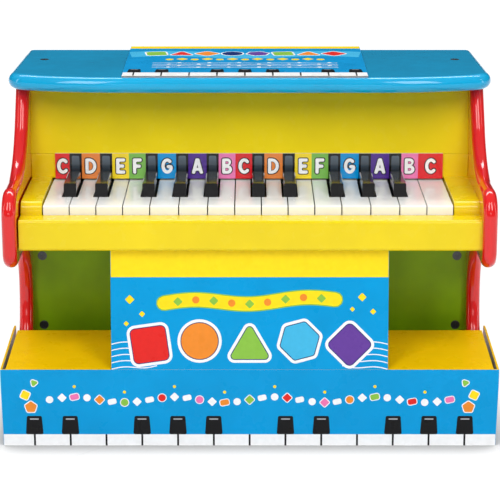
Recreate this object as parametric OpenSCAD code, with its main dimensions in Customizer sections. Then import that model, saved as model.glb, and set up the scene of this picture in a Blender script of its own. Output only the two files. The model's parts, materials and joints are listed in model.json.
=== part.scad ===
// Toy upright piano of 25 keys, with a song book on its lid and a card display sleeve round its foot.
// X runs to the right, Y to the back and Z up. The origin is on the floor under the middle.
// Inside a module, Y is counted from the front of the arms; from_front() sets it in place.

/* [Case] */
// Width over the two side panels
body_w = 400; // [360:1:440]
// Height from the floor to the top of the lid
body_h = 292; // [262:1:322]
// Distance of the fallboard's face behind the front of the arms
fallboard_y = 126.6; // [114:0.1:140]
// Depth from the fallboard's face to the back edge of the lid
case_d = 118.4; // [106:0.1:150]
// Thickness of a side panel, whose free edges are full rounds
board_t = 12; // [9:0.5:16]
// Clearance between the left side panel and the parts beside it
left_gap = 1; // [0:0.1:2]

/* [Side panel] */
// Height of the arm's top above the white keys
arm_rise = 17.2; // [12:0.1:24]
// Drop of the arm's underside below the key bed
arm_drop = 14.5; // [10:0.1:20]
// Radius of the arm's upper front corner
arm_nose_r = 21.5; // [16:0.5:24]
// Radius of the arm's lower front corner
arm_chin_r = 14.5; // [13:0.5:20]
// Radius of the sweep from the arm up to the lid
upper_sweep_r = 76; // [60:1:80]
// Distance of that sweep's lowest point in front of the fallboard
upper_sweep_set = 82.6; // [76:0.1:90]
// Lean of the panel's upper front edge from the upright, in degrees
upper_lean = 33.5; // [28:0.5:38]
// Radius of the sweep from the arm's underside down to the leg
knee_r = 45; // [38:1:50]
// Distance of the leg's slimmest point in front of the fallboard
leg_set = 19.1; // [14:0.1:24]
// Radius of the toe
toe_r = 16; // [14:0.5:18]
// Height of the toe's middle
toe_z = 22; // [19:0.5:26]
// Distance of the toe in front of the fallboard
toe_set = 74.6; // [68:0.1:80]

/* [Lid] */
// Thickness of the lid
lid_t = 13.5; // [10:0.5:16]
// Overhang of the lid past a side panel, where it is widest
lid_over = 5.5; // [2:0.5:9]
// How much narrower the lid is at its back, on each side
lid_taper = 3; // [0:0.5:4]
// Distance of the lid's front edge in front of the fallboard
lid_set = 30.6; // [24:0.1:38]
// Half width of the lid's straight front
lid_straight = 110; // [90:1:125]
// Radius of the sweep at each end of the lid's front
lid_sweep_r = 260; // [220:5:400]
// Radius of the lid's front corners
lid_corner_r = 20; // [15:0.5:26]
// Distance of the two lid screws from the lid's back edge
lid_screw_set = 52; // [40:1:64]

/* [Panels] */
// Lean of the upper panel from the upright, in degrees
upper_panel_lean = 14.9; // [10:0.1:17]
// Thickness of the upper panel and the fallboard
panel_t = 9; // [7:0.5:12]
// Height of the fallboard
fallboard_h = 21.3; // [18:0.1:26]
// Clearance from the white keys up to the fallboard
fallboard_gap = 1.7; // [1:0.1:4]
// Thickness of the note guide strip
guide_t = 2; // [1:0.1:3]
// Distance of the lower panel's face in front of the fallboard's
lower_panel_set = 6.6; // [3:0.1:10]
// Thickness of the lower panel
lower_panel_t = 6; // [4:0.5:8]
// Thickness of the back panel
back_panel_t = 5; // [3:0.5:8]
// Thickness of the base board
base_t = 10; // [8:0.5:14]
// Height of the base board's underside
base_z = 12; // [6:0.5:20]
// Width of a square corner cleat
cleat_w = 14; // [12:0.5:15]
// Thickness of the four foot pads
foot_t = 2; // [1:0.1:4]

/* [Key bed] */
// Distance of the key bed's underside below the top of the lid
bed_drop = 126.7; // [120:0.1:134]
// Thickness of the key bed board
bed_t = 9.2; // [7:0.1:9.6]
// Height of the key slip
slip_h = 25.6; // [25:0.1:26.4]
// Distance of the key slip's face behind the arm's front
slip_y = 9.7; // [6:0.1:12]
// Radius of the key slip's long front edges
slip_edge_r = 3; // [1:0.5:5]
// Height of the cheeks above the white keys
cheek_rise = 3; // [1:0.1:6]
// Radius of the cheeks' front nose
cheek_nose_r = 8; // [5:0.5:10]
// Width of the left cheek
left_cheek_w = 17.3; // [12:0.1:24]
// Width of the right cheek
right_cheek_w = 20.9; // [12:0.1:24]

/* [Keys] */
// Gap between neighbouring white keys
key_gap = 1; // [0.6:0.1:1.6]
// Distance of the keys' front behind the arm's front
key_front_y = 30; // [29:0.1:34]
// Height of the white keys' tops above the slip
key_rise = 7.4; // [7:0.1:9]
// Depth of a white key's front block
key_h = 15.8; // [14:0.1:16]
// Length of the wide front of a white key
key_head = 31.5; // [26:0.5:36]
// Height of the black keys above the white ones
black_rise = 10.5; // [8:0.1:12]
// Distance from a black key's cap to the fallboard
black_back = 14.8; // [6:0.1:20]
// Clearance on each side of a black key
black_gap = 1.3; // [1:0.1:2]
// How far the black key's front leans back
black_lean = 4; // [1:0.5:8]
// Thickness of a key's lever behind the fallboard
lever_t = 10; // [8:0.1:11]
// Angle that a key tips through, in degrees
key_dip = 2.9; // [2:0.1:2.9]
// Distance of the pivot rod behind the fallboard's face
pivot_set = 23.4; // [21:0.1:26]
// Radius of the pivot rod
rod_r = 1.5; // [1.2:0.1:2]
// Radial clearance of a key on the rod
rod_fit = 0.05; // [0.02:0.01:0.1]

/* [Tone bars] */
// Clearance of the lowest tone bar and the keys' tails from the back panel
back_gap = 4; // [3:0.1:8]
// Width of a tone bar
bar_w = 10; // [7:0.5:11]
// Thickness of a tone bar
bar_t = 3; // [2:0.1:4]
// Distance of the lowest bar's front end behind the pivot rod
bar_set = 2; // [0:0.1:6]
// Width of a tone rail
rail_w = 9; // [7:0.5:10]
// Height of a tone rail
rail_h = 7; // [5:0.5:10]
// Thickness of the felts
felt_t = 1.5; // [1:0.1:1.7]

/* [Song book] */
// Width of the song book
book_w = 207; // [150:1:280]
// Depth of the song book
book_d = 144; // [100:1:148]
// Thickness of the song book at its front
book_front_t = 1.4; // [1.2:0.1:4]
// Thickness of the song book at its spine
book_spine_t = 3.2; // [2.4:0.1:8]
// Distance of the song book's middle to the right of the lid's middle
book_x = -4; // [-30:1:30]
// Thickness of its cover
cover_t = 0.4; // [0.3:0.1:0.8]

/* [Display sleeve] */
// Reach of the sleeve past a side panel
sleeve_over = 5; // [3.5:0.1:20]
// Thickness of its card
card_t = 1.6; // [1:0.1:2]
// Distance of the sleeve's front behind the arm's front
sleeve_y = 5.4; // [2:0.1:8]
// Height of the sleeve's front
sleeve_h = 66; // [50:1:68]
// Rise of the sleeve's top from front to back
sleeve_rise = 5.6; // [2:0.1:6]
// Clearance from the sleeve's top to the legs
sleeve_gap = 2.45; // [1:0.05:20]
// Depth of the sleeve's side walls
sleeve_side_d = 105; // [92:1:120]
// Width of the raised middle panel
sleeve_mid_w = 227; // [150:1:300]
// Lean of the middle panel from the upright, in degrees
sleeve_mid_lean = 6.7; // [5:0.1:9]
// Width of the slit between the sleeve's top and its side walls
sleeve_slit = 2.8; // [1:0.1:3]
// How much the side walls draw in at the floor
sleeve_draw = 1.3; // [0:0.1:2]

/* [Hidden] */
$fn = 48;
OCTAVE = ["c", "csharp", "d", "dsharp", "e", "f", "fsharp", "g", "gsharp", "a", "asharp", "b"];
BLACK = [false, true, false, true, false, false, true, false, true, false, true, false];
KEY_COUNT = 25;
KEY_NODES = [for (i = [0 : KEY_COUNT - 1]) str("key_", OCTAVE[i % 12], floor(i / 12) + 1)];

// Heights and edges that several pieces share. Curves stay within arc_err of true, and a full
// round has round_steps flats.
inner_x = body_w / 2 - board_t;
left_x = -inner_x + left_gap;
round_r = board_t / 2;
arc_err = 0.08;
round_steps = 10;
body_d = fallboard_y + case_d;
lid_z = body_h - lid_t;
bed_z = body_h - bed_drop;
bed_top = bed_z + bed_t;
slip_top = bed_z + slip_h;
key_top = slip_top + key_rise;
arm_top = key_top + arm_rise;
arm_under = bed_z - arm_drop;
fallboard_z = key_top + fallboard_gap;
fallboard_top = fallboard_z + fallboard_h;
lid_back_lap = 5;
side_back = body_d - lid_back_lap;
back_set = 3;
back_y = side_back - back_set - back_panel_t;
lower_panel_y = fallboard_y - lower_panel_set;
slip_clear = 0.8;
slip_back = key_front_y - slip_clear;

// Keys fill the room between the cheeks. An octave has 12 equal lanes: the fronts of C to E share
// five of them and those of F to B seven. The top C's front is a third of five lanes.
keys_x = left_x + left_cheek_w + key_gap / 2;
keys_w = inner_x - right_cheek_w - key_gap / 2 - keys_x;
lane = keys_w / (24 + 5 / 3);
octave_w = 12 * lane;
g_extra = 0.75;
front_edges = concat(
    [for (k = [0 : 3]) k * lane * 5 / 3],
    [lane * (5 + 7 / 4) - g_extra, lane * (5 + 7 / 2), lane * (5 + 21 / 4) + g_extra, octave_w]);
FRONT_OF = [0, -1, 1, -1, 2, 3, -1, 4, -1, 5, -1, 6];
white_clear = 0.2;
key_bottom = key_top - key_h;
notch_y = key_front_y + key_head;
lever_drop = 2.3;
lever_top = key_top - lever_drop;
lever_z = lever_top - lever_t;
lever_step = 2;
lever_ramp = 4;
lever_step_y = fallboard_y + panel_t + lever_step;
pivot_y = fallboard_y + pivot_set;
pivot_rise = 4.5;
pivot_z = lever_z + pivot_rise;
tail_y = back_y - back_gap;
head_lap = 6;
key_edge_r = 1.2;
black_edge = 0.8;
cap_sink = 2;
cap_depth = 3;
cap_z = key_top - cap_depth;

// Tone bars, which fill the room from just behind the pivot rod to the back panel
tail_clear = 1;
rail_z = lever_top + (tail_y - pivot_y) * sin(key_dip) + tail_clear;
bar_z = rail_z + rail_h + felt_t;
bar_l = back_y - back_gap - pivot_y - bar_set;
bar_y = pivot_y + bar_set + bar_l / 2;
bar_node = 0.276;
nail_r = 0.9;
nail_hole_r = 1.3;
nail_head_r = 2.2;
nail_depth = 5;
strike_w = 6;
strike_r = 4;
strike_sink = 2;
strike_clear = 0.25;
strike_top = bar_z - (bar_y - pivot_y) * sin(key_dip) - strike_clear;

// Screws
screw_head_r = 4;
screw_shank_r = 1.8;
screw_l = 16;
screw_inset = cleat_w / 2;
slot_l = 4.8;
slot_w = 0.9;
slot_depth = 1;
back_screw_l = 12;
back_screw_edge = 40;
panel_screw_set = 1;
panel_screw_edge = 33.2;
panel_screw_span = 62.6;
foot_r = 4.8;
foot_front_set = 18;
foot_back_set = 12;
rest_clear = 0.1;

// ---- shared shapes ----------------------------------------------------------------------------

// Sets what is drawn from the front of the arms in the object's own frame
module from_front() { translate([0, -body_d / 2, 0]) children(); }

// A bar along X whose outline is given in Y and Z
module across(x0, x1, outline) {
    translate([x0, 0, 0]) rotate([90, 0, 90]) linear_extrude(x1 - x0) polygon(outline);
}

// A box between two corners
module block(low, high) { translate(low) cube(high - low); }

// The points of an arc about c, from angle a0 to a1 in n steps
function arc(c, r, a0, a1, n) = [for (i = [0 : n]) let (a = a0 + (a1 - a0) * i / n) c + r * [cos(a), sin(a)]];

// The radius of an edge's arc s, drawn d inside the edge
function inset(s, d) = s[1] > 0 ? s[1] - d : -s[1] + d;

// The points of arc s, d inside the edge, close enough together to stay within arc_err of the curve
function arc_steps(s) = ceil(abs(s[3] - s[2]) / (2 * acos(1 - arc_err / abs(s[1]))));
function edge_arc(s, d) = arc(s[0], inset(s, d), s[2], s[3], arc_steps(s));

// An outline with one point where an arc runs into the next
function joined(points) = [
    for (i = [0 : len(points) - 1]) if (i == 0 || norm(points[i] - points[i - 1]) > arc_err) points[i]];

// A board of thickness 2r about the XY plane whose free edge is a full round. loops holds the
// board's outline at each level of the rounding, all with the same number of points. fans splits
// the outline into pieces, each a list of points that are all in sight of the first.
function round_level(k, r) = [r * (1 - cos(k * 180 / round_steps - 90)), r * sin(k * 180 / round_steps - 90)];
module round_board(loops, r, fans) {
    n = len(loops[0]);
    polyhedron(
        points = [for (k = [0 : round_steps], p = loops[k]) [p.x, p.y, round_level(k, r)[1]]],
        faces = concat(
            fans, [for (f = fans) [for (i = [len(f) : -1 : 1]) round_steps * n + f[i % len(f)]]],
            [for (k = [0 : round_steps - 1], i = [0 : n - 1]) each let (j = (i + 1) % n) [
                [k * n + i, (k + 1) * n + i, (k + 1) * n + j],
                [k * n + i, (k + 1) * n + j, k * n + j]]]));
}

// A countersunk screw whose head lies flush at the origin, pointing along -Z
module screw(l) {
    difference() {
        union() {
            translate([0, 0, -screw_head_r + screw_shank_r])
                cylinder(h = screw_head_r - screw_shank_r, r1 = screw_shank_r, r2 = screw_head_r);
            translate([0, 0, -l]) cylinder(h = l, r = screw_shank_r);
        }
        for (a = [0, 90]) rotate([0, 0, a])
            translate([-slot_l / 2, -slot_w / 2, -slot_depth]) cube([slot_l, slot_w, 2 * slot_depth]);
    }
}

// The hole that such a screw fills
module screw_hole(l) {
    translate([0, 0, -screw_head_r + screw_shank_r])
        cylinder(h = screw_head_r - screw_shank_r, r1 = screw_shank_r, r2 = screw_head_r);
    translate([0, 0, -l]) cylinder(h = l + 0.01, r = screw_shank_r);
}

// ---- case -------------------------------------------------------------------------------------

// The side panel's front edge, from the lid down to the toe, in the plane of Y and Z: arcs that
// run into each other, each [centre, radius, first angle, last angle]. A radius below 0 is hollow.
// The shin's radius is the one that joins the leg's slimmest point and the toe in one sweep.
leg_y = fallboard_y - leg_set;
toe_y = fallboard_y - toe_set;
knee_c = [leg_y - knee_r, arm_under - knee_r];
toe_c = [toe_y + toe_r, toe_z];
shin_run = [toe_c.x - leg_y, knee_c.y - toe_c.y];
shin_r = (pow(norm(shin_run), 2) - pow(toe_r, 2)) / (2 * (toe_r - shin_run.x));
shin_c = [leg_y - shin_r, knee_c.y];
toe_turn = atan2(toe_c.y - shin_c.y, toe_c.x - shin_c.x);
side_arcs = [
    [[fallboard_y - upper_sweep_set, arm_top + upper_sweep_r], -upper_sweep_r, -upper_lean, -90],
    [[arm_nose_r, arm_top - arm_nose_r], arm_nose_r, 90, 180],
    [[arm_chin_r, arm_under + arm_chin_r], arm_chin_r, 180, 270],
    [knee_c, -knee_r, 90, 0],
    [shin_c, -shin_r, 0, toe_turn],
    [toe_c, toe_r, toe_turn + 180, 180]
];

// The panel's outline, with its front edge drawn in by d. It starts on the back edge level with the
// arm, from where all of it down to the leg is in sight. The foot is in sight from its last point.
function side_outline(d) = let (
    sweep = side_arcs[0],
    start = sweep[0] + inset(sweep, d) * [cos(upper_lean), -sin(upper_lean)]
) joined(concat(
    [[side_back, (arm_top + arm_under) / 2], [side_back, lid_z]],
    [[start.x + (lid_z - start.y) * tan(upper_lean), lid_z]],
    [for (s = side_arcs) each edge_arc(s, d)],
    [[toe_y + d, foot_t], [side_back, foot_t]]));

module side_panel() {
    loops = [for (k = [0 : round_steps]) side_outline(round_level(k, round_r)[0])];
    last = len(loops[0]) - 1;
    leg = [for (i = [1 : last]) if (loops[0][i].y < knee_c.y + arc_err) i][0];
    foot = concat([last, 0], [for (i = [leg : last - 1]) i]);
    rotate([90, 0, 90]) round_board(loops, round_r, [[for (i = [0 : leg]) i], foot]);
}

module side_left() {
    color("crimson") from_front() translate([-body_w / 2 + round_r, 0, 0]) side_panel();
}

module side_right() {
    color("crimson") from_front() translate([body_w / 2 - round_r, 0, 0]) side_panel();
}

// The right half of the lid's edge: a wide sweep runs into the corner, and the corner into the side
lid_r = lid_t / 2;
lid_corner_x = body_w / 2 + lid_over - lid_corner_r;
lid_sweep_y = fallboard_y - lid_set + lid_sweep_r;
lid_corner_y = lid_sweep_y - sqrt(pow(lid_sweep_r - lid_corner_r, 2) - pow(lid_corner_x - lid_straight, 2));
lid_turn = atan2(lid_corner_y - lid_sweep_y, lid_corner_x - lid_straight);
lid_side_run = [lid_corner_r - lid_taper, body_d - lid_corner_y];
lid_side_turn = atan2(lid_side_run.y, lid_side_run.x) - acos(lid_corner_r / norm(lid_side_run));
lid_arcs = [
    [[lid_straight, lid_sweep_y], lid_sweep_r, -90, lid_turn],
    [[lid_corner_x, lid_corner_y], lid_corner_r, lid_turn, lid_side_turn]
];

// The lid's right half with its edge drawn in by d, and the whole lid
function lid_half(d) = let (
    corner = lid_arcs[1],
    last = corner[0] + inset(corner, d) * [cos(lid_side_turn), sin(lid_side_turn)]
) joined(concat(
    [for (s = lid_arcs) each edge_arc(s, d)],
    [[last.x - (body_d - last.y) * tan(lid_side_turn), body_d]]));
function lid_outline(d) = let (half = lid_half(d), n = len(half)) concat(
    [for (i = [n - 1 : -1 : 0]) half[i]], [for (p = half) [-p.x, p.y]]);

module lid() {
    lid_loops = [for (k = [0 : round_steps]) lid_outline(round_level(k, lid_r)[0])];
    color("deepskyblue") from_front() difference() {
        translate([0, 0, lid_z + lid_r])
            round_board(lid_loops, lid_r, [[for (i = [0 : len(lid_loops[0]) - 1]) i]]);
        lid_screw_places() screw_hole(lid_t + 1);
    }
}

module lid_screw_places() {
    for (s = [-1, 1]) translate([s * (inner_x - screw_inset), body_d - lid_screw_set, body_h]) children();
}

module lid_screws() {
    color("silver") from_front() lid_screw_places() screw(lid_t + screw_l / 2);
}

// ---- panels -----------------------------------------------------------------------------------

upper_panel_rise = lid_z - fallboard_top;
upper_panel_run = upper_panel_rise * tan(upper_panel_lean);
guide_left = 2;
guide_right = 0.5;
guide_below = 0.3;
guide_above = 0.5;

module upper_panel() {
    color("gold") from_front() across(-inner_x, inner_x, [
        [fallboard_y, fallboard_top], [fallboard_y + upper_panel_run, lid_z],
        [fallboard_y + upper_panel_run + panel_t, lid_z], [fallboard_y + panel_t, fallboard_top]]);
}

module fallboard() {
    chamfer = 0.5;
    color("gold") from_front() across(-inner_x, inner_x, [
        [fallboard_y, fallboard_z], [fallboard_y, fallboard_top - chamfer],
        [fallboard_y + chamfer, fallboard_top], [fallboard_y + panel_t, fallboard_top],
        [fallboard_y + panel_t, fallboard_z]]);
}

module note_guide() {
    color("white") from_front() block(
        [keys_x + guide_left, fallboard_y - guide_t, fallboard_z - guide_below],
        [keys_x + keys_w - guide_right, fallboard_y, fallboard_top + guide_above]);
}

module lower_panel() {
    color("olivedrab") from_front() difference() {
        block([-inner_x, lower_panel_y, base_z], [inner_x, lower_panel_y + lower_panel_t, bed_z]);
        panel_screw_places() screw_hole(lower_panel_t + 1);
    }
}

module panel_screw_places() {
    for (s = [-1, 1], z = [bed_z - panel_screw_edge, bed_z - panel_screw_edge - panel_screw_span])
        translate([s * (inner_x - screw_inset - panel_screw_set), lower_panel_y, z])
            rotate([90, 0, 0]) children();
}

module panel_screws() {
    color("dimgray") from_front() panel_screw_places() screw(screw_l);
}

module corner_cleats() {
    lid_cleat_y = fallboard_y + upper_panel_run + panel_t;
    color("burlywood") from_front() difference() {
        for (s = [-1, 1]) {
            translate([s * (inner_x - cleat_w / 2) - cleat_w / 2, 0, 0]) {
                block([0, lid_cleat_y, lid_z - cleat_w], [cleat_w, back_y, lid_z]);
                block([0, lower_panel_y + lower_panel_t, base_z + base_t],
                      [cleat_w, lower_panel_y + lower_panel_t + cleat_w, bed_z]);
            }
        }
        lid_screw_places() translate([0, 0, -lid_t - screw_l / 2]) cylinder(h = screw_l, r = screw_shank_r);
        panel_screw_places() translate([0, 0, -screw_l]) cylinder(h = screw_l, r = screw_shank_r);
    }
}

module base_board() {
    color("burlywood") from_front() difference() {
        block([-inner_x, lower_panel_y + lower_panel_t, base_z], [inner_x, back_y, base_z + base_t]);
        back_screw_pilots();
    }
}

module back_screw_places() {
    for (x = (inner_x - back_screw_edge) * [-1, 0, 1], z = [base_z + base_t / 2, bed_z + bed_t / 2])
        translate([x, back_y + back_panel_t, z]) rotate([-90, 0, 0]) children();
}

module back_screw_pilots() {
    back_screw_places() translate([0, 0, -back_screw_l]) cylinder(h = back_screw_l, r = screw_shank_r);
}

module back_panel() {
    color("burlywood") from_front() difference() {
        block([-inner_x, back_y, base_z], [inner_x, back_y + back_panel_t, lid_z]);
        back_screw_places() screw_hole(back_panel_t + 1);
    }
}

module back_screws() {
    color("silver") from_front() back_screw_places() screw(back_screw_l);
}

module foot_pads() {
    color("dimgray") from_front() for (s = [-1, 1], y = [toe_y + foot_front_set, side_back - foot_back_set])
        translate([s * (body_w / 2 - round_r), y, 0]) cylinder(h = foot_t, r = foot_r);
}

// ---- key bed ----------------------------------------------------------------------------------

module key_bed() {
    color("gold") from_front() difference() {
        block([-inner_x, slip_back, bed_z], [inner_x, back_y, bed_top]);
        back_screw_pilots();
    }
}

module key_slip() {
    r = slip_edge_r;
    color("gold") from_front() across(left_x, inner_x, concat(
        arc([slip_y + r, bed_z + r], r, 270, 180, 6),
        arc([slip_y + r, slip_top - r], r, 180, 90, 6),
        [[slip_back, slip_top], [slip_back, bed_z]]));
}

// The outline of a cheek in Y and Z; it rests on the key bed and meets the fallboard
cheek_outline = concat(
    [[slip_back, bed_top]],
    arc([slip_back + cheek_nose_r, key_top + cheek_rise - cheek_nose_r], cheek_nose_r, 180, 90, 8),
    [[fallboard_y, key_top + cheek_rise], [fallboard_y, fallboard_z], [fallboard_y + panel_t, fallboard_z],
     [fallboard_y + panel_t, bed_top]]);

module cheek_left() {
    color("gold") from_front() across(left_x, left_x + left_cheek_w, cheek_outline);
}

module cheek_right() {
    color("gold") from_front() across(inner_x - right_cheek_w, inner_x, cheek_outline);
}

front_felt_set = 8;
front_felt_w = 16;

module front_felt() {
    felt_y = key_front_y + front_felt_set;
    color("firebrick") from_front() block(
        [keys_x, felt_y, bed_top], [keys_x + keys_w, felt_y + front_felt_w, bed_top + felt_t]);
}

// The strip of the key bed on which the tails rest
rest_set = 4;
rest_w = 10;
rest_y = [tail_y - rest_set - rest_w, tail_y - rest_set];
rest_z = lever_z - rest_clear;

module back_rail() {
    color("burlywood") from_front() block(
        [-inner_x, rest_y[0], bed_top], [inner_x, rest_y[1], rest_z - felt_t]);
}

module back_felt() {
    color("firebrick") from_front() block(
        [keys_x, rest_y[0], rest_z - felt_t], [keys_x + keys_w, rest_y[1], rest_z]);
}

pivot_half = 7;
pivot_clear = 2;
rod_inset = 4;

module pivot_rail() {
    block_gap = 1.5;
    color("burlywood") from_front() difference() {
        union() {
            block([-inner_x, pivot_y - pivot_half, bed_top],
                  [inner_x, pivot_y + pivot_half, lever_z - pivot_clear]);
            block([-inner_x, pivot_y - pivot_half, bed_top],
                  [keys_x - block_gap, pivot_y + pivot_half, lever_top]);
            block([keys_x + keys_w + block_gap, pivot_y - pivot_half, bed_top],
                  [inner_x, pivot_y + pivot_half, lever_top]);
        }
        rod(0);
    }
}

module rod(clear) {
    translate([rod_inset - inner_x, pivot_y, pivot_z]) rotate([0, 90, 0])
        cylinder(h = 2 * (inner_x - rod_inset), r = rod_r + clear);
}

module pivot_rod() {
    color("silver") from_front() rod(0);
}

// ---- keys -------------------------------------------------------------------------------------

// A key's lever in Y and Z: its top is level to just past the fallboard, then lower
function lever_outline(y0, top) = [
    [y0, lever_z], [y0, top], [lever_step_y, top], [lever_step_y + lever_ramp, lever_top],
    [tail_y, lever_top], [tail_y, lever_z]];

// The post and rounded nose on a lever's tail that knocks the tone bar from below
module striker(x) {
    x0 = x - strike_w / 2;
    block([x0, bar_y - strike_r, lever_top - strike_sink],
          [x0 + strike_w, bar_y + strike_r, strike_top - strike_r]);
    translate([x0, bar_y, strike_top - strike_r]) rotate([0, 90, 0]) cylinder(h = strike_w, r = strike_r);
}

// Where a white key has no black neighbour its rear keeps the full width of the front
module white_key(i) {
    n = i % 12;
    x0 = keys_x + floor(i / 12) * octave_w;
    f0 = x0 + front_edges[FRONT_OF[n]] + key_gap / 2;
    f1 = x0 + front_edges[FRONT_OF[n] + 1] - key_gap / 2;
    near_left = BLACK[(n + 11) % 12] && i > 0;
    near_right = BLACK[(n + 1) % 12] && i < KEY_COUNT - 1;
    r0 = near_left ? x0 + n * lane + white_clear : f0;
    r1 = near_right ? x0 + (n + 1) * lane - white_clear : f1;
    head = concat(
        [[key_front_y, key_bottom]],
        arc([key_front_y + key_edge_r, key_top - key_edge_r], key_edge_r, 180, 90, 4),
        [[notch_y, key_top], [notch_y, key_bottom]]);
    across(f0, f1, head);
    across(r0, r1, lever_outline(notch_y - head_lap, key_top));
    striker(bar_x(i));
}

module black_key(i) {
    x0 = keys_x + i * lane + black_gap;
    x1 = x0 + lane - 2 * black_gap;
    y0 = notch_y + black_gap;
    black_l = fallboard_y - black_back - y0;
    top = key_top + black_rise;
    across(x0, x1, lever_outline(y0, cap_z + cap_sink));
    intersection() {
        across(x0, x1, [[y0, cap_z], [y0 + black_lean, top], [y0 + black_l, top], [y0 + black_l, cap_z]]);
        translate([0, y0 + black_l, 0]) rotate([90, 0, 0]) linear_extrude(black_l) polygon([
            [x0, cap_z], [x0, top - black_edge], [x0 + black_edge, top],
            [x1 - black_edge, top], [x1, top - black_edge], [x1, cap_z]]);
    }
    striker(bar_x(i));
}

module key(i) {
    color(BLACK[i % 12] ? "#202020" : "ivory") from_front() difference() {
        if (BLACK[i % 12]) black_key(i);
        else white_key(i);
        rod(rod_fit);
    }
}

// ---- tone bars --------------------------------------------------------------------------------

function bar_x(i) = keys_x + (i + 0.5) * lane;
function bar_len(i) = bar_l * pow(2, -i / 24);
function node_y(i, s) = bar_y + s * bar_node * bar_len(i);

// A straight strip under all the bars, through the nodes of the first and the last
module tone_strip(s, x0, x1, w, z0, z1) {
    slope = (node_y(KEY_COUNT - 1, s) - node_y(0, s)) / (bar_x(KEY_COUNT - 1) - bar_x(0));
    y0 = node_y(0, s) + slope * (x0 - bar_x(0));
    y1 = node_y(0, s) + slope * (x1 - bar_x(0));
    translate([0, 0, z0]) linear_extrude(z1 - z0)
        polygon([[x0, y0 - w / 2], [x1, y1 - w / 2], [x1, y1 + w / 2], [x0, y0 + w / 2]]);
}

module nail_places(s) {
    for (i = [0 : KEY_COUNT - 1]) translate([bar_x(i), node_y(i, s), 0]) children();
}

module nail_holes(s) {
    nail_places(s) translate([0, 0, rail_z + rail_h - nail_depth])
        cylinder(h = nail_depth + felt_t + 1, r = nail_r);
}

module tone_rail(s) {
    difference() {
        tone_strip(s, -inner_x, inner_x, rail_w, rail_z, rail_z + rail_h);
        nail_holes(s);
    }
}

module tone_rail_front() { color("burlywood") from_front() tone_rail(-1); }

module tone_rail_back() { color("burlywood") from_front() tone_rail(1); }

module tone_felts() {
    color("firebrick") from_front() for (s = [-1, 1]) difference() {
        tone_strip(s, keys_x, keys_x + keys_w, rail_w - 2, rail_z + rail_h, bar_z);
        nail_holes(s);
    }
}

module tone_bars() {
    color("lightsteelblue") from_front() for (i = [0 : KEY_COUNT - 1]) difference() {
        block([bar_x(i) - bar_w / 2, bar_y - bar_len(i) / 2, bar_z],
              [bar_x(i) + bar_w / 2, bar_y + bar_len(i) / 2, bar_z + bar_t]);
        for (s = [-1, 1]) translate([bar_x(i), node_y(i, s), bar_z - 1])
            cylinder(h = bar_t + 2, r = nail_hole_r);
    }
}

module tone_nails() {
    head_clear = 0.5;
    head_t = 1;
    color("silver") from_front() for (s = [-1, 1]) nail_places(s) {
        translate([0, 0, rail_z + rail_h - nail_depth])
            cylinder(h = nail_depth + felt_t + bar_t + head_clear + head_t / 2, r = nail_r);
        translate([0, 0, bar_z + bar_t + head_clear]) cylinder(h = head_t, r = nail_head_r);
    }
}

// ---- song book and display sleeve -------------------------------------------------------------

book_y = body_d - book_d;
page_inset = 1.5;

// The height of the book's top at y, which rises to the spine
function book_top(y) = body_h + book_front_t + (book_spine_t - book_front_t) * (y - book_y) / book_d;

module songbook_cover() {
    fold = body_d - cover_t;
    color("dodgerblue") from_front() across(book_x - book_w / 2, book_x + book_w / 2, [
        [book_y, body_h], [body_d, body_h], [body_d, book_top(body_d)], [book_y, book_top(book_y)],
        [book_y, book_top(book_y) - cover_t], [fold, book_top(fold) - cover_t],
        [fold, body_h + cover_t], [book_y, body_h + cover_t]]);
}

module songbook_pages() {
    y0 = book_y + page_inset;
    y1 = body_d - cover_t;
    half = book_w / 2 - page_inset;
    color("white") from_front() across(book_x - half, book_x + half, [
        [y0, body_h + cover_t], [y1, body_h + cover_t],
        [y1, book_top(y1) - cover_t], [y0, book_top(y0) - cover_t]]);
}

sleeve_half = body_w / 2 + sleeve_over;
sleeve_foot = sleeve_half - sleeve_draw;
sleeve_top = sleeve_h + sleeve_rise;
fold_drop = 14;
fold_z = sleeve_h - fold_drop;
mid_gap = 0.5;
mid_top = bed_z - mid_gap;

// The leg's front edge at the height of the sleeve's top, where that top ends
sleeve_back = shin_c.x + sqrt(pow(shin_r, 2) - pow(shin_c.y - sleeve_top, 2)) - sleeve_gap;

// One of the sleeve's side walls, drawn in a little towards the floor and cut to the top's slope
module sleeve_side() {
    intersection() {
        translate([0, sleeve_y + sleeve_side_d, 0]) rotate([90, 0, 0]) linear_extrude(sleeve_side_d)
            polygon([
                [sleeve_foot, 0], [sleeve_half, fold_z], [sleeve_half, sleeve_top],
                [sleeve_half - card_t, sleeve_top], [sleeve_half - card_t, fold_z],
                [sleeve_foot - card_t, 0]]);
        across(0, 2 * sleeve_half, [
            [sleeve_y, 0], [body_d, 0], [body_d, sleeve_top], [sleeve_back, sleeve_top],
            [sleeve_y, sleeve_h]]);
    }
}

module display_sleeve() {
    top_half = sleeve_half - card_t - sleeve_slit;
    mid_run = (mid_top - sleeve_h) * tan(sleeve_mid_lean);
    color("deepskyblue") from_front() {
        translate([0, sleeve_y + card_t, 0]) rotate([90, 0, 0]) linear_extrude(card_t) polygon([
            [-sleeve_foot, 0], [sleeve_foot, 0], [sleeve_half, fold_z], [sleeve_half, sleeve_h],
            [-sleeve_half, sleeve_h], [-sleeve_half, fold_z]]);
        sleeve_side();
        mirror([1, 0, 0]) sleeve_side();
        across(-top_half, top_half, [
            [sleeve_y, sleeve_h - card_t], [sleeve_back, sleeve_top - card_t],
            [sleeve_back, sleeve_top], [sleeve_y, sleeve_h]]);
        across(-sleeve_mid_w / 2, sleeve_mid_w / 2, [
            [sleeve_y, sleeve_h - card_t], [sleeve_y + mid_run, mid_top],
            [sleeve_y + mid_run + card_t, mid_top], [sleeve_y + card_t, sleeve_h - card_t]]);
    }
}

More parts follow.
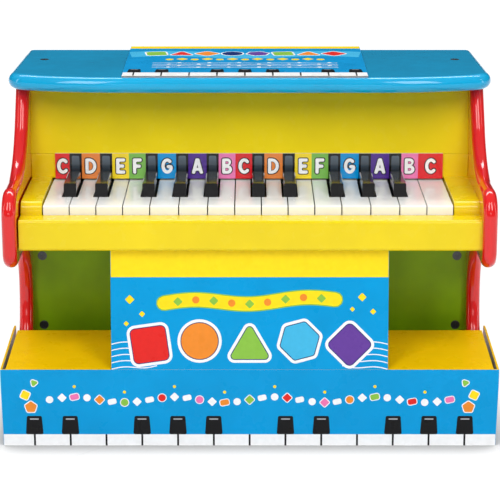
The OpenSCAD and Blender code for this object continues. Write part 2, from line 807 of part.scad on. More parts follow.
side_left();
side_right();
lid();
lid_screws();
upper_panel();
fallboard();
note_guide();
key_slip();
cheek_left();
cheek_right();
key_bed();
front_felt();
back_rail();
back_felt();
pivot_rail();
pivot_rod();
tone_rail_front();
tone_rail_back();
tone_felts();
tone_bars();
tone_nails();
lower_panel();
panel_screws();
corner_cleats();
base_board();
back_panel();
back_screws();
foot_pads();
songbook_cover();
songbook_pages();
display_sleeve();
for (i = [0 : KEY_COUNT - 1])
    key(i);
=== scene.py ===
"""Toy upright piano with a song book on its lid and a card display sleeve round its foot.

The solids keep their shape. Here they get softened edges and materials, and the note strip, the song
book and the sleeve get their print.
"""
import json
import math

import bmesh
import bpy
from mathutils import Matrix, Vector
from mathutils.geometry import tessellate_polygon


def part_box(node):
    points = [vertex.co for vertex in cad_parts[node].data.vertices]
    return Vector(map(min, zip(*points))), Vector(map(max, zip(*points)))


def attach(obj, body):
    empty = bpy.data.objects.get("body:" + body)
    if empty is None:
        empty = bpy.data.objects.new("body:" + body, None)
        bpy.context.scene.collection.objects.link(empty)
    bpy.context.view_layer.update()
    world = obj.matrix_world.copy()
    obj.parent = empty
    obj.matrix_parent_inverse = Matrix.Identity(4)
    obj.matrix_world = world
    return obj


MM = 0.001
OCTAVE = ["c", "csharp", "d", "dsharp", "e", "f", "fsharp", "g", "gsharp", "a", "asharp", "b"]
KEY_COUNT = 25
KEYS = [f"key_{OCTAVE[i % len(OCTAVE)]}{i // len(OCTAVE) + 1}" for i in range(KEY_COUNT)]

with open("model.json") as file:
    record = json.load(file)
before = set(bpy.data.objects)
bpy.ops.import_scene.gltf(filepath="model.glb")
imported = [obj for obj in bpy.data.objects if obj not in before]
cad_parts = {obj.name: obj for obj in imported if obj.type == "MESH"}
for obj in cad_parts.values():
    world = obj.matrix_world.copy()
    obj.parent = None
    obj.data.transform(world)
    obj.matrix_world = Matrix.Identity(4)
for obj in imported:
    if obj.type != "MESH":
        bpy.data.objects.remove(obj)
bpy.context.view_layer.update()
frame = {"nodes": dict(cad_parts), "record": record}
NODES = frame["nodes"]


def box_mm(node):
    """A node's lowest and highest corners in millimetres."""
    return [[c / MM for c in corner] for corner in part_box(node)]


class Nodes:
    """A node tree, with short ways to add nodes to it and to feed them."""

    def __init__(self, tree):
        self.tree = tree

    def node(self, kind, **settings):
        node = self.tree.nodes.new(kind)
        for key, value in settings.items():
            setattr(node, key, value)
        return node

    def feed(self, socket, value):
        """Links an output to a socket, or sets a plain number or colour on it."""
        if isinstance(value, bpy.types.NodeSocket):
            self.tree.links.new(value, socket)
        elif isinstance(value, tuple):
            socket.default_value = (*value, 1.0)
        else:
            socket.default_value = value

    def part(self, vector, axis):
        """One component of a vector."""
        split = self.node("ShaderNodeSeparateXYZ")
        self.feed(split.inputs[0], vector)
        return split.outputs[axis]

    def maths(self, operation, first, second=0.0):
        node = self.node("ShaderNodeMath", operation=operation)
        self.feed(node.inputs[0], first)
        self.feed(node.inputs[1], second)
        return node.outputs[0]

    def spread(self, value, start, stop, low=0.0, high=1.0, curve="LINEAR"):
        """Runs from low to high as the value runs from start to stop."""
        node = self.node("ShaderNodeMapRange", interpolation_type=curve)
        for socket, number in zip(node.inputs, (value, start, stop, low, high)):
            self.feed(socket, number)
        return node.outputs["Result"]


# ---- camera, light and stage --------------------------------------------------------------------
# Lengths are in metres here, and a lamp's power is in watts.

CAMERA_AT = (0.0003, -1.679, 0.5833)
CAMERA_TILT = math.radians(14.9)
CAMERA_CLIP = (0.05, 2000.0)
LENS_MM = 144.0
SENSOR_MM = 36.0

LAMP_AIM = (0.0, 0.0, 0.17)
# Azimuth (0 in front, 90 to the right) and elevation in degrees, distance, width and height, power
LAMPS = {
    "softbox_left": (-26.0, 42.0, 1.9, (0.5, 1.15), 12.0),
    "softbox_right": (26.0, 42.0, 1.9, (0.5, 1.15), 12.0),
    "front_glow": (0.0, 13.0, 2.4, (1.0, 0.3), 2.2),
    "hair_light": (180.0, 62.0, 1.7, (1.9, 0.3), 16.0),
    "strip_left": (-78.0, 16.0, 1.7, (0.12, 1.2), 2.5),
    "strip_right": (78.0, 16.0, 1.7, (0.12, 1.2), 2.5),
}

# Strength of the world's light in front, behind and above, and the directions that it turns between
WORLD_FRONT = 0.32
WORLD_BACK = 0.05
WORLD_TOP = 0.6
WORLD_TURN = (-0.1, 0.75)
WORLD_RISE = (0.35, 0.85)

FLOOR_SIZE = 800.0
FLOOR_COLOUR = (0.9, 0.9, 0.9)
# The floor's own glow, and its share of what is seen: less near the object, where the shadow falls
FLOOR_GLOW = 1.1
FLOOR_SHARE = 0.8
FLOOR_FADE = (0.7, 1.5)
# Shade where the object meets the floor: its reach, how open the floor is where it ends, its depth
CONTACT_REACH = 0.035
CONTACT_OPEN = (0.5, 0.9)
CONTACT_DARK = 0.3


def add_camera():
    data = bpy.data.cameras.new("camera")
    data.lens = LENS_MM
    data.sensor_width = SENSOR_MM
    data.clip_start, data.clip_end = CAMERA_CLIP
    camera = bpy.data.objects.new("camera", data)
    camera.location = CAMERA_AT
    camera.rotation_euler = (math.pi / 2 - CAMERA_TILT, 0.0, 0.0)
    bpy.context.scene.collection.objects.link(camera)
    bpy.context.scene.camera = camera


def add_lamp(name, azimuth, elevation, distance, size, power):
    """A rectangular lamp that faces the object."""
    a, e = math.radians(azimuth), math.radians(elevation)
    toward = Vector((math.sin(a) * math.cos(e), -math.cos(a) * math.cos(e), math.sin(e)))
    data = bpy.data.lights.new(name, "AREA")
    data.shape = "RECTANGLE"
    data.size, data.size_y = size
    data.energy = power
    lamp = bpy.data.objects.new(name, data)
    lamp.location = Vector(LAMP_AIM) + distance * toward
    lamp.rotation_euler = toward.to_track_quat("Z", "Y").to_euler()
    bpy.context.scene.collection.objects.link(lamp)


def studio_world():
    """Soft light all round: bright in front and above, dim low down behind."""
    world = bpy.data.worlds.new("studio")
    bpy.context.scene.world = world
    world.use_nodes = True
    world.node_tree.nodes.clear()
    n = Nodes(world.node_tree)
    heading = n.node("ShaderNodeTexCoord").outputs["Generated"]
    level = n.spread(n.part(heading, "Y"), *WORLD_TURN, WORLD_FRONT, WORLD_BACK, "SMOOTHSTEP")
    level = n.spread(n.part(heading, "Z"), *WORLD_RISE, level, WORLD_TOP, "SMOOTHSTEP")
    light = n.node("ShaderNodeBackground")
    n.feed(light.inputs["Strength"], level)
    n.feed(n.node("ShaderNodeOutputWorld").inputs["Surface"], light.outputs["Background"])


def add_stage():
    """A white floor. Camera, glossy and transmitted rays see it lifted to white, but for the shadow."""
    bpy.ops.mesh.primitive_plane_add(size=FLOOR_SIZE, location=(0.0, 0.0, 0.0))
    floor = bpy.context.object
    floor.name = "floor"
    mat = bpy.data.materials.new("floor")
    mat.use_nodes = True
    mat.node_tree.nodes.clear()
    n = Nodes(mat.node_tree)

    matt = n.node("ShaderNodeBsdfDiffuse")
    n.feed(matt.inputs["Color"], FLOOR_COLOUR)

    near = n.node("ShaderNodeAmbientOcclusion")
    n.feed(near.inputs["Distance"], CONTACT_REACH)
    contact = n.spread(near.outputs["AO"], *CONTACT_OPEN, CONTACT_DARK, 1.0)
    glow = n.node("ShaderNodeEmission")
    n.feed(glow.inputs["Color"], (1.0, 1.0, 1.0))
    n.feed(glow.inputs["Strength"], n.maths("MULTIPLY", contact, FLOOR_GLOW))

    away = n.node("ShaderNodeVectorMath", operation="LENGTH")
    n.feed(away.inputs[0], n.node("ShaderNodeTexCoord").outputs["Object"])
    share = n.spread(away.outputs["Value"], *FLOOR_FADE, FLOOR_SHARE, 1.0)
    rays = n.node("ShaderNodeLightPath").outputs
    seen = rays["Is Camera Ray"]
    for ray in ("Is Glossy Ray", "Is Transmission Ray"):
        seen = n.maths("MAXIMUM", seen, rays[ray])

    mix = n.node("ShaderNodeMixShader")
    n.feed(mix.inputs["Fac"], n.maths("MULTIPLY", seen, share))
    n.feed(mix.inputs[1], matt.outputs[0])
    n.feed(mix.inputs[2], glow.outputs[0])
    n.feed(n.node("ShaderNodeOutputMaterial").inputs["Surface"], mix.outputs[0])
    floor.data.materials.append(mat)


add_camera()
studio_world()
add_stage()
for lamp_name, lamp_settings in LAMPS.items():
    add_lamp(lamp_name, *lamp_settings)

bpy.context.scene.view_settings.view_transform = "Standard"


# ---- materials ----------------------------------------------------------------------------------

# Most of what noise gives lies in this span.
NOISE_SPAN = (0.3, 0.7)
GRAIN_ALONG_X = (0.015, 1.0, 1.0)
GRAIN_ALONG_Z = (1.0, 1.0, 0.015)
# A face looks along an axis where its normal has more than this share of it.
FACES = 0.5
# Above this height in metres, what looks up on the sleeve is the card's cut edge.
SLEEVE_CUT_Z = 0.1
# On the book's cover, a cut edge is what looks up or down less than this.
COVER_CUT = 0.4


def linear(red, green, blue):
    """A colour given as 0 to 255 on screen, as the shader's linear values."""
    return tuple((v / 255.0 / 12.92) if v <= 10 else ((v / 255.0 + 0.055) / 1.055) ** 2.4
                 for v in (red, green, blue))


def shade(colour, factor):
    return tuple(min(1.0, c * factor) for c in colour)


class Finish(Nodes):
    """A material, and the nodes that its colour, roughness and relief come from."""

    def __init__(self, name, **sockets):
        self.material = bpy.data.materials.new(name)
        self.material.use_nodes = True
        super().__init__(self.material.node_tree)
        self.bsdf = self.tree.nodes["Principled BSDF"]
        coords = self.node("ShaderNodeTexCoord")
        self.place = coords.outputs["Object"]
        self.facing = coords.outputs["Normal"]
        self.relief = None
        for socket, value in sockets.items():
            self.bsdf.inputs[socket.replace("_", " ")].default_value = value

    def noise(self, per_metre, detail, stretch=(1.0, 1.0, 1.0), rough=0.5):
        """Cloudy noise. A stretch below 1 draws it out along that axis."""
        mapping = self.node("ShaderNodeMapping")
        self.feed(mapping.inputs["Vector"], self.place)
        mapping.inputs["Scale"].default_value = [per_metre * s for s in stretch]
        cloud = self.node("ShaderNodeTexNoise")
        self.feed(cloud.inputs["Vector"], mapping.outputs["Vector"])
        self.feed(cloud.inputs["Scale"], 1.0)
        self.feed(cloud.inputs["Detail"], detail)
        self.feed(cloud.inputs["Roughness"], rough)
        return cloud.outputs["Fac"]

    def waves(self, per_metre, axis, warp=0.0):
        """Even ridges across one axis."""
        wave = self.node("ShaderNodeTexWave", wave_type="BANDS", bands_direction=axis)
        self.feed(wave.inputs["Vector"], self.place)
        self.feed(wave.inputs["Scale"], per_metre / 10.0 * math.pi)
        self.feed(wave.inputs["Distortion"], warp)
        return wave.outputs["Fac"]

    def mix(self, factor, first, second):
        node = self.node("ShaderNodeMix", data_type="RGBA")
        self.feed(node.inputs["Factor"], factor)
        colours = [s for s in node.inputs if s.type == "RGBA"]
        self.feed(colours[0], first)
        self.feed(colours[1], second)
        return [s for s in node.outputs if s.type == "RGBA"][0]

    def blend(self, pattern, first, second, span=NOISE_SPAN):
        """Runs from one colour to another as a pattern rises through its span."""
        return self.mix(self.spread(pattern, *span), first, second)

    def colour(self, value):
        self.feed(self.bsdf.inputs["Base Color"], value)

    def rough(self, value):
        self.feed(self.bsdf.inputs["Roughness"], value)

    def bump(self, height, depth_mm, strength):
        """Adds relief to what is there already."""
        node = self.node("ShaderNodeBump")
        self.feed(node.inputs["Strength"], strength)
        self.feed(node.inputs["Distance"], depth_mm * MM)
        self.feed(node.inputs["Height"], height)
        if self.relief:
            self.feed(node.inputs["Normal"], self.relief)
        self.relief = node.outputs["Normal"]
        self.feed(self.bsdf.inputs["Normal"], self.relief)


def enamel(name, colour, grain, rough, coat, coat_rough):
    """Sprayed gloss paint on wood: slightly uneven, with orange peel and a trace of the grain."""
    f = Finish(name, Coat_Weight=coat, Coat_Roughness=coat_rough, Specular_IOR_Level=0.12)
    f.colour(f.blend(f.noise(14.0, 3.0), shade(colour, 0.94), shade(colour, 1.04), (0.35, 0.65)))
    f.rough(f.spread(f.noise(90.0, 3.0), *NOISE_SPAN, rough - 0.04, rough + 0.06))
    f.bump(f.noise(420.0, 3.0, grain), 0.012, 0.5)
    f.bump(f.noise(650.0, 1.0), 0.01, 0.5)
    return f.material


def satin_board(name, colour):
    """Thin painted board whose fibres show through the paint."""
    f = Finish(name, Coat_Weight=0.1, Coat_Roughness=0.2, Specular_IOR_Level=0.15)
    fibres = f.noise(1500.0, 4.0, (0.25, 1.0, 1.0))
    f.colour(f.blend(f.noise(25.0, 3.0), shade(colour, 0.85), shade(colour, 1.1)))
    f.rough(f.spread(fibres, *NOISE_SPAN, 0.34, 0.5))
    f.bump(fibres, 0.03, 0.5)
    return f.material


def moulded(name, colour, rough):
    """Glossy moulded plastic with faint flow marks and fine handling scratches."""
    f = Finish(name, Coat_Weight=0.15, Coat_Roughness=0.08)
    f.colour(f.blend(f.noise(30.0, 3.0, (1.0, 0.3, 1.0)), shade(colour, 0.95), colour))
    f.rough(f.spread(f.noise(500.0, 3.0, (0.3, 0.05, 1.0)), 0.35, 0.75, rough, rough + 0.06))
    f.bump(f.noise(120.0, 1.0), 0.004, 0.3)
    return f.material


def wool_felt(name, colour):
    """Pressed wool: matted fibres with paler strands and a soft sheen."""
    f = Finish(name, Roughness=0.95, Sheen_Weight=0.6, Sheen_Roughness=0.5)
    fibres = f.noise(2600.0, 6.0, (1.0, 0.35, 1.0), 0.7)
    f.colour(f.blend(fibres, shade(colour, 0.7), shade(colour, 1.35), (0.35, 0.7)))
    f.bump(fibres, 0.25, 0.8)
    f.bump(f.noise(500.0, 4.0), 0.2, 0.5)
    return f.material


def planed_wood(name, colour, grain):
    """Bare beech: straight grain, pale growth bands and short dark flecks."""
    f = Finish(name)
    lines = f.noise(240.0, 5.0, grain, 0.65)
    flecks = f.spread(f.noise(1100.0, 2.0, tuple(max(g, 0.08) for g in grain)), 0.62, 0.7)
    bands = f.blend(lines, shade(colour, 0.78), shade(colour, 1.12))
    f.colour(f.mix(flecks, bands, shade(colour, 0.55)))
    f.rough(f.spread(lines, *NOISE_SPAN, 0.62, 0.78))
    f.bump(lines, 0.05, 0.6)
    f.bump(flecks, 0.04, 0.4)
    return f.material


def pressed_board(name, colour):
    """Hardboard: brown matted fibres, with the press's wire mesh on its rough side."""
    f = Finish(name)
    fibres = f.noise(1300.0, 6.0, rough=0.7)
    matted = f.blend(fibres, shade(colour, 0.65), shade(colour, 1.3))
    blotches = f.spread(f.noise(26.0, 6.0, rough=0.7), 0.35, 0.65)
    f.colour(f.mix(f.maths("MULTIPLY", blotches, 0.5), matted, shade(colour, 0.6)))
    f.rough(f.spread(fibres, *NOISE_SPAN, 0.6, 0.85))
    mesh = f.maths("MULTIPLY", f.waves(560.0, "X"), f.waves(560.0, "Z"))
    f.bump(mesh, 0.09, 0.7)
    f.bump(fibres, 0.05, 0.6)
    return f.material


def ground_steel(name, colour, rough, lines):
    """Steel with the fine parallel marks of its grinding."""
    f = Finish(name, Metallic=1.0)
    marks = f.noise(2400.0, 3.0, lines)
    f.colour(f.blend(f.noise(60.0, 4.0), colour, shade(colour, 0.75), (0.4, 0.75)))
    f.rough(f.spread(marks, *NOISE_SPAN, rough - 0.07, rough + 0.12))
    f.bump(marks, 0.01, 0.5)
    return f.material


def moulded_rubber(name, colour):
    """Dark rubber with a dusty speckle."""
    f = Finish(name)
    speckle = f.noise(1800.0, 4.0)
    f.colour(f.blend(speckle, colour, shade(colour, 1.7), (0.4, 0.7)))
    f.rough(f.spread(speckle, *NOISE_SPAN, 0.7, 0.9))
    f.bump(speckle, 0.05, 0.5)
    return f.material


def page_block(name, colour):
    """Uncoated leaves: the cut edges show as fine lines, one to a leaf."""
    f = Finish(name)
    leaves = f.waves(5000.0, "Z", 0.6)
    fibres = f.noise(1500.0, 5.0)
    f.colour(f.blend(leaves, shade(colour, 0.72), colour, (0.2, 0.9)))
    f.rough(f.spread(fibres, *NOISE_SPAN, 0.75, 0.9))
    f.bump(leaves, 0.05, 0.6)
    f.bump(fibres, 0.02, 0.5)
    return f.material


def coated_card(name):
    """The start of a printed card's material: ink under a thin varnish."""
    return Finish(name, Coat_Weight=0.06, Coat_Roughness=0.12, Specular_IOR_Level=0.1)


def card_surface(f, tooth_mm=0.02):
    """The surface of coated card: soft undulation and a fine paper tooth under the varnish."""
    f.rough(f.spread(f.noise(70.0, 3.0), *NOISE_SPAN, 0.24, 0.36))
    f.bump(f.noise(45.0, 1.0), 0.08, 0.25)
    f.bump(f.noise(1700.0, 4.0), tooth_mm, 0.4)
    return f.material


def printed_cover(name, colour):
    """A blue printed cover, with the pale card at its cut edges."""
    f = coated_card(name)
    ink = f.blend(f.noise(35.0, 3.0), shade(colour, 0.93), shade(colour, 1.05))
    upright = f.maths("ABSOLUTE", f.part(f.facing, "Z"))
    f.colour(f.mix(f.maths("LESS_THAN", upright, COVER_CUT), ink, CARD_CUT))
    return card_surface(f)


def sleeve_card(name, front, top):
    """The display sleeve: blue outside, yellow on its sloping tops, plain pulp inside."""
    f = coated_card(name)
    x, z = f.part(f.place, "X"), f.part(f.place, "Z")
    nx, ny, nz = (f.part(f.facing, axis) for axis in "XYZ")
    drift = f.spread(f.noise(30.0, 3.0), *NOISE_SPAN)
    blue = f.mix(drift, shade(front, 0.95), shade(front, 1.04))
    yellow = f.mix(drift, shade(top, 0.93), top)
    pulp = f.mix(f.noise(900.0, 5.0), shade(CARD_PULP, 0.8), shade(CARD_PULP, 1.1))
    outward = f.maths("GREATER_THAN", f.maths("MULTIPLY", nx, f.maths("SIGN", x)), FACES)
    forward = f.maths("LESS_THAN", ny, -FACES)
    raised = f.maths("GREATER_THAN", nz, FACES)
    paint = f.mix(f.maths("MAXIMUM", outward, forward), pulp, blue)
    paint = f.mix(raised, paint, yellow)
    cut = f.maths("MULTIPLY", raised, f.maths("GREATER_THAN", z, SLEEVE_CUT_Z))
    f.colour(f.mix(cut, paint, CARD_CUT))
    flutes = f.waves(180.0, "Y", 0.3)
    f.bump(f.maths("MULTIPLY", flutes, raised), 0.12, 0.5)
    return card_surface(f)


def print_ink(name, colour):
    """A patch of printing ink under varnish."""
    f = Finish(name, Coat_Weight=0.06, Coat_Roughness=0.1, Specular_IOR_Level=0.1)
    f.colour(f.blend(f.noise(220.0, 4.0), shade(colour, 0.94), colour))
    return card_surface(f, 0.01)


def strip_film(name, **sockets):
    """The start of the note strip's materials: a clear gloss film over the print."""
    return Finish(name, Coat_Weight=0.5, Coat_Roughness=0.05, Specular_IOR_Level=0.2, **sockets)


def strip_ink(name, colour):
    """Ink under the film of the note strip."""
    f = strip_film(name)
    f.colour(f.blend(f.noise(150.0, 3.0), shade(colour, 0.95), colour))
    f.rough(f.spread(f.noise(240.0, 2.0), *NOISE_SPAN, 0.14, 0.24))
    f.bump(f.noise(180.0, 2.0), 0.02, 0.4)
    return f.material


def fading_ink(name, first, last, from_mm, to_mm):
    """Strip ink that runs from one colour to another up the strip."""
    f = strip_film(name, Roughness=0.2)
    f.colour(f.blend(f.part(f.place, "Z"), first, last, (from_mm * MM, to_mm * MM)))
    f.bump(f.noise(180.0, 2.0), 0.02, 0.4)
    return f.material


RED_PAINT = linear(222, 20, 22)
BLUE_PAINT = linear(0, 164, 214)
YELLOW_PAINT = linear(236, 209, 0)
GREEN_PAINT = linear(134, 184, 4)
WHITE_PLASTIC = linear(252, 251, 248)
BLACK_PLASTIC = linear(26, 26, 27)
FELT_RED = linear(160, 30, 34)
BEECH = linear(214, 178, 132)
HARDBOARD = linear(176, 134, 96)
STEEL = linear(200, 202, 206)
RUBBER = linear(48, 48, 50)
PAPER = linear(240, 238, 228)
STRIP_WHITE = linear(236, 238, 240)
CARD_CUT = linear(226, 214, 190)
CARD_PULP = linear(190, 184, 172)
CARD_BLUE = linear(0, 152, 214)
CARD_YELLOW = linear(255, 208, 6)
BOOK_BLUE = linear(0, 146, 206)

PALETTE = {
    "red_paint": enamel("red_paint", RED_PAINT, GRAIN_ALONG_Z, 0.12, 1.0, 0.03),
    "blue_paint": enamel("blue_paint", BLUE_PAINT, GRAIN_ALONG_X, 0.2, 0.7, 0.05),
    "yellow_paint": enamel("yellow_paint", YELLOW_PAINT, GRAIN_ALONG_X, 0.24, 0.5, 0.04),
    "green_paint": satin_board("green_paint", GREEN_PAINT),
    "printed_strip": strip_ink("printed_strip", STRIP_WHITE),
    "felt": wool_felt("felt", FELT_RED),
    "bare_wood": planed_wood("bare_wood", BEECH, GRAIN_ALONG_X),
    "hardboard": pressed_board("hardboard", HARDBOARD),
    "tone_steel": ground_steel("tone_steel", STEEL, 0.3, (1.0, 0.03, 1.0)),
    # The screws' steel is darkened to a sixth of the plain steel: painted shade for the shadow that the
    # screws and their countersinks lie in.
    "screw_steel": ground_steel("screw_steel", shade(STEEL, 0.16), 0.34, (1.0, 1.0, 0.1)),
    "rubber_pad": moulded_rubber("rubber_pad", RUBBER),
    "book_cover": printed_cover("book_cover", BOOK_BLUE),
    "paper": page_block("paper", PAPER),
    "printed_card": sleeve_card("printed_card", CARD_BLUE, CARD_YELLOW),
    "white_key": moulded("white_key", WHITE_PLASTIC, 0.22),
    "black_key": moulded("black_key", BLACK_PLASTIC, 0.1),
}

# ---- edges and shading of the solids ------------------------------------------------------------

WELD_MM = 0.005
SMOOTH_ANGLE = math.radians(34.0)
BEVEL_ANGLE = math.radians(38.0)
BEVEL_SEGMENTS = 2
EDGE_MM = {
    "red_paint": 0.8, "blue_paint": 0.8, "yellow_paint": 0.5, "green_paint": 0.4,
    "printed_strip": 0.15, "felt": 0.3, "bare_wood": 0.4, "hardboard": 0.3, "tone_steel": 0.3,
    "screw_steel": 0.08, "rubber_pad": 0.4, "book_cover": 0.08, "paper": 0.1, "printed_card": 0.25,
    "white_key": 0.45, "black_key": 0.45,
}
# These keep their edges as made: a bevel there would leave creases between the screw holes.
SCREWED_BOARDS = ("lid", "lower_panel", "back_panel")


def smoothing_group():
    """Shades faces smooth and keeps an edge sharp where it turns more than SMOOTH_ANGLE."""
    group = bpy.data.node_groups.new("smooth_by_angle", "GeometryNodeTree")
    for way in ("INPUT", "OUTPUT"):
        group.interface.new_socket("Geometry", in_out=way, socket_type="NodeSocketGeometry")
    n = Nodes(group)
    start, end = n.node("NodeGroupInput"), n.node("NodeGroupOutput")
    angle = n.node("GeometryNodeInputMeshEdgeAngle")
    gentle = n.node("FunctionNodeCompare", operation="LESS_THAN")
    n.feed(gentle.inputs["A"], angle.outputs["Unsigned Angle"])
    n.feed(gentle.inputs["B"], SMOOTH_ANGLE)
    edges = n.node("GeometryNodeSetShadeSmooth", domain="EDGE")
    n.feed(edges.inputs["Geometry"], start.outputs[0])
    n.feed(edges.inputs["Shade Smooth"], gentle.outputs[0])
    faces = n.node("GeometryNodeSetShadeSmooth")
    n.feed(faces.inputs["Geometry"], edges.outputs[0])
    n.feed(end.inputs[0], faces.outputs[0])
    return group


def soften(obj, edge_mm, smooth_by_angle):
    """Rounds the hard edges a little and shades the rest smooth."""
    mesh = obj.data
    if "custom_normal" in mesh.attributes:
        mesh.attributes.remove(mesh.attributes["custom_normal"])
    weld = obj.modifiers.new("weld", "WELD")
    weld.merge_threshold = WELD_MM * MM
    if edge_mm:
        bevel = obj.modifiers.new("bevel", "BEVEL")
        bevel.width = edge_mm * MM
        bevel.segments = BEVEL_SEGMENTS
        bevel.limit_method = "ANGLE"
        bevel.angle_limit = BEVEL_ANGLE
        bevel.use_clamp_overlap = True
    smooth = obj.modifiers.new("smooth", "NODES")
    smooth.node_group = smooth_by_angle
    weigh = obj.modifiers.new("weigh", "WEIGHTED_NORMAL")
    weigh.keep_sharp = True


def dress_solids():
    """Gives each solid the material of its slot, and its edges."""
    group = smoothing_group()
    for sub in frame["record"]["subparts"]:
        name, slot = sub["node"], sub["material_slot"]
        node = NODES[name]
        node.data.materials.clear()
        node.data.materials.append(PALETTE[slot])
        soften(node, 0.0 if name in SCREWED_BOARDS else EDGE_MM[slot], group)


dress_solids()


# ---- shapes to print ----------------------------------------------------------------------------
# From here on, places and sizes are in millimetres.

# The lowest ink ends this far over the plane it is printed on, and starts as far inside the solid.
INK_BASE = 0.03
# What each level adds
INK_STEP = 0.03
# Steps of a rounded corner and of a stroke's round end, and the share of an edge a corner may take
CORNER_STEPS = 5
END_STEPS = 6
CORNER_REACH = 0.49
# Two edges whose directions sum to less than this fold straight back.
FOLD = 1e-6


def arc(cx, cy, rx, start, stop, steps, ry=None):
    """Points of an arc, or of an oval's arc where ry is given. Angles are in degrees."""
    ry = rx if ry is None else ry
    turns = [math.radians(start + (stop - start) * i / steps) for i in range(steps + 1)]
    return [(cx + rx * math.cos(t), cy + ry * math.sin(t)) for t in turns]


def disc(x, y, r, steps):
    return arc(x, y, r, 0, 360 - 360 / steps, steps - 1)


def regular(x, y, r, sides, turn=90.0):
    """A regular polygon, with its first corner turned this far from the right."""
    return arc(x, y, r, turn, turn + 360 - 360 / sides, sides - 1)


def oblong(x0, y0, x1, y1):
    return [(x0, y0), (x1, y0), (x1, y1), (x0, y1)]


def rounded(points, radius):
    """The outline with each corner turned on an arc of the radius, as far as its edges allow."""
    out = []
    n = len(points)
    for i, corner in enumerate(points):
        p = Vector(corner)
        a, b = Vector(points[i - 1]) - p, Vector(points[(i + 1) % n]) - p
        half = a.angle(b) / 2
        reach = min(radius / math.tan(half), a.length * CORNER_REACH, b.length * CORNER_REACH)
        a.normalize()
        b.normalize()
        centre = p + (a + b).normalized() * reach / math.cos(half)
        first, last = p + a * reach - centre, p + b * reach - centre
        turn = math.atan2(first.cross(last), first.dot(last))
        base = math.atan2(first.y, first.x)
        for k in range(CORNER_STEPS + 1):
            t = base + turn * k / CORNER_STEPS
            out.append((centre.x + first.length * math.cos(t), centre.y + first.length * math.sin(t)))
    return out


def spun(points, x, y, degrees):
    """Points turned about the origin and then moved to x, y."""
    c, s = math.cos(math.radians(degrees)), math.sin(math.radians(degrees))
    return [(x + px * c - py * s, y + px * s + py * c) for px, py in points]


def sides_of(path, width):
    """The two edges of a stroke along a path."""
    left, right = [], []
    for i, point in enumerate(path):
        before, after = Vector(path[max(i - 1, 0)]), Vector(path[min(i + 1, len(path) - 1)])
        along = (after - before).normalized()
        normal = Vector((-along.y, along.x)) * width / 2
        p = Vector(point)
        left.append(tuple(p + normal))
        right.append(tuple(p - normal))
    return left, right


def ribbon(path, width):
    """A stroke's outline, cut square at its ends. The path runs to the right."""
    left, right = sides_of(path, width)
    return right + left[::-1]


def stroke(path, width):
    """A stroke's outline, with round ends."""
    left, right = sides_of(path, width)
    caps = []
    for here, inner in ((path[-1], path[-2]), (path[0], path[1])):
        out = Vector(here) - Vector(inner)
        heading = math.degrees(math.atan2(out.y, out.x))
        caps.append(arc(here[0], here[1], width / 2, heading - 90, heading + 90, END_STEPS)[1:-1])
    return right + caps[0] + left[::-1] + caps[1]


def runs_left(points):
    """Whether an outline turns to the left, or anticlockwise, as a whole."""
    return sum(points[i - 1][0] * points[i][1] - points[i][0] * points[i - 1][1]
               for i in range(len(points))) > 0


def grown(points, by):
    """The outline moved outwards by a distance, or inwards where it is negative."""
    n = len(points)
    sign = 1.0 if runs_left(points) else -1.0
    out = []
    for i, point in enumerate(points):
        a = (Vector(point) - Vector(points[i - 1])).normalized()
        b = (Vector(points[(i + 1) % n]) - Vector(point)).normalized()
        bisector = Vector((a.y + b.y, -a.x - b.x))
        if bisector.length < FOLD:
            out.append(point)
            continue
        bisector.normalize()
        reach = by / max(0.5, bisector.dot(Vector((a.y, -a.x))))
        out.append(tuple(Vector(point) + bisector * reach * sign))
    return out


def wavy(x0, x1, y0, rise, swing, waves, steps=48):
    """A path that waves about a straight line."""
    return [(x0 + (x1 - x0) * t, y0 + rise * t + swing * math.sin(2 * math.pi * waves * t))
            for t in (i / steps for i in range(steps + 1))]


class Sheet:
    """Printed shapes on one or more planes, as thin closed layers in one object."""

    def __init__(self, name, body, slot, inks):
        self.name, self.body, self.slot, self.inks = name, body, slot, inks
        self.mesh = bmesh.new()

    def on(self, origin, across, up):
        """Sets the plane that the next shapes lie on."""
        self.origin = Vector(origin)
        self.across = Vector(across).normalized()
        self.up = Vector(up).normalized()
        self.out = self.across.cross(self.up)

    def ring(self, points, height):
        """New vertices for some points of the plane, at a height over it."""
        return [self.mesh.verts.new(
            (self.origin + self.across * x + self.up * y + self.out * height) * MM) for x, y in points]

    def shape(self, ink, level, outline, *holes):
        """Adds one shape of an ink, less the holes in it. A higher level lies over a lower one."""
        loops = [outline, *holes]
        flat = [p for loop in loops for p in loop]
        under = self.ring(flat, -INK_BASE)
        over = self.ring(flat, INK_BASE + INK_STEP * level)
        faces = []
        for a, b, c in tessellate_polygon([[Vector((x, y, 0)) for x, y in loop] for loop in loops]):
            if (Vector(flat[b]) - Vector(flat[a])).cross(Vector(flat[c]) - Vector(flat[a])) < 0:
                b, c = c, b
            faces.append(self.mesh.faces.new((over[a], over[b], over[c])))
            faces.append(self.mesh.faces.new((under[c], under[b], under[a])))
        start = 0
        for loop in loops:
            n = len(loop)
            outwards = runs_left(loop) == (loop is outline)
            for i in range(n):
                a, b = start + i, start + (i + 1) % n
                wall = (under[a], under[b], over[b], over[a])
                faces.append(self.mesh.faces.new(wall if outwards else wall[::-1]))
            start += n
        index = list(self.inks).index(ink)
        for face in faces:
            face.material_index = index

    def finish(self):
        mesh = bpy.data.meshes.new(self.name)
        self.mesh.to_mesh(mesh)
        self.mesh.free()
        for ink in self.inks.values():
            mesh.materials.append(ink)
        obj = bpy.data.objects.new(self.name, mesh)
        bpy.context.scene.collection.objects.link(obj)
        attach(obj, self.body)


# ---- the note strip -----------------------------------------------------------------------------

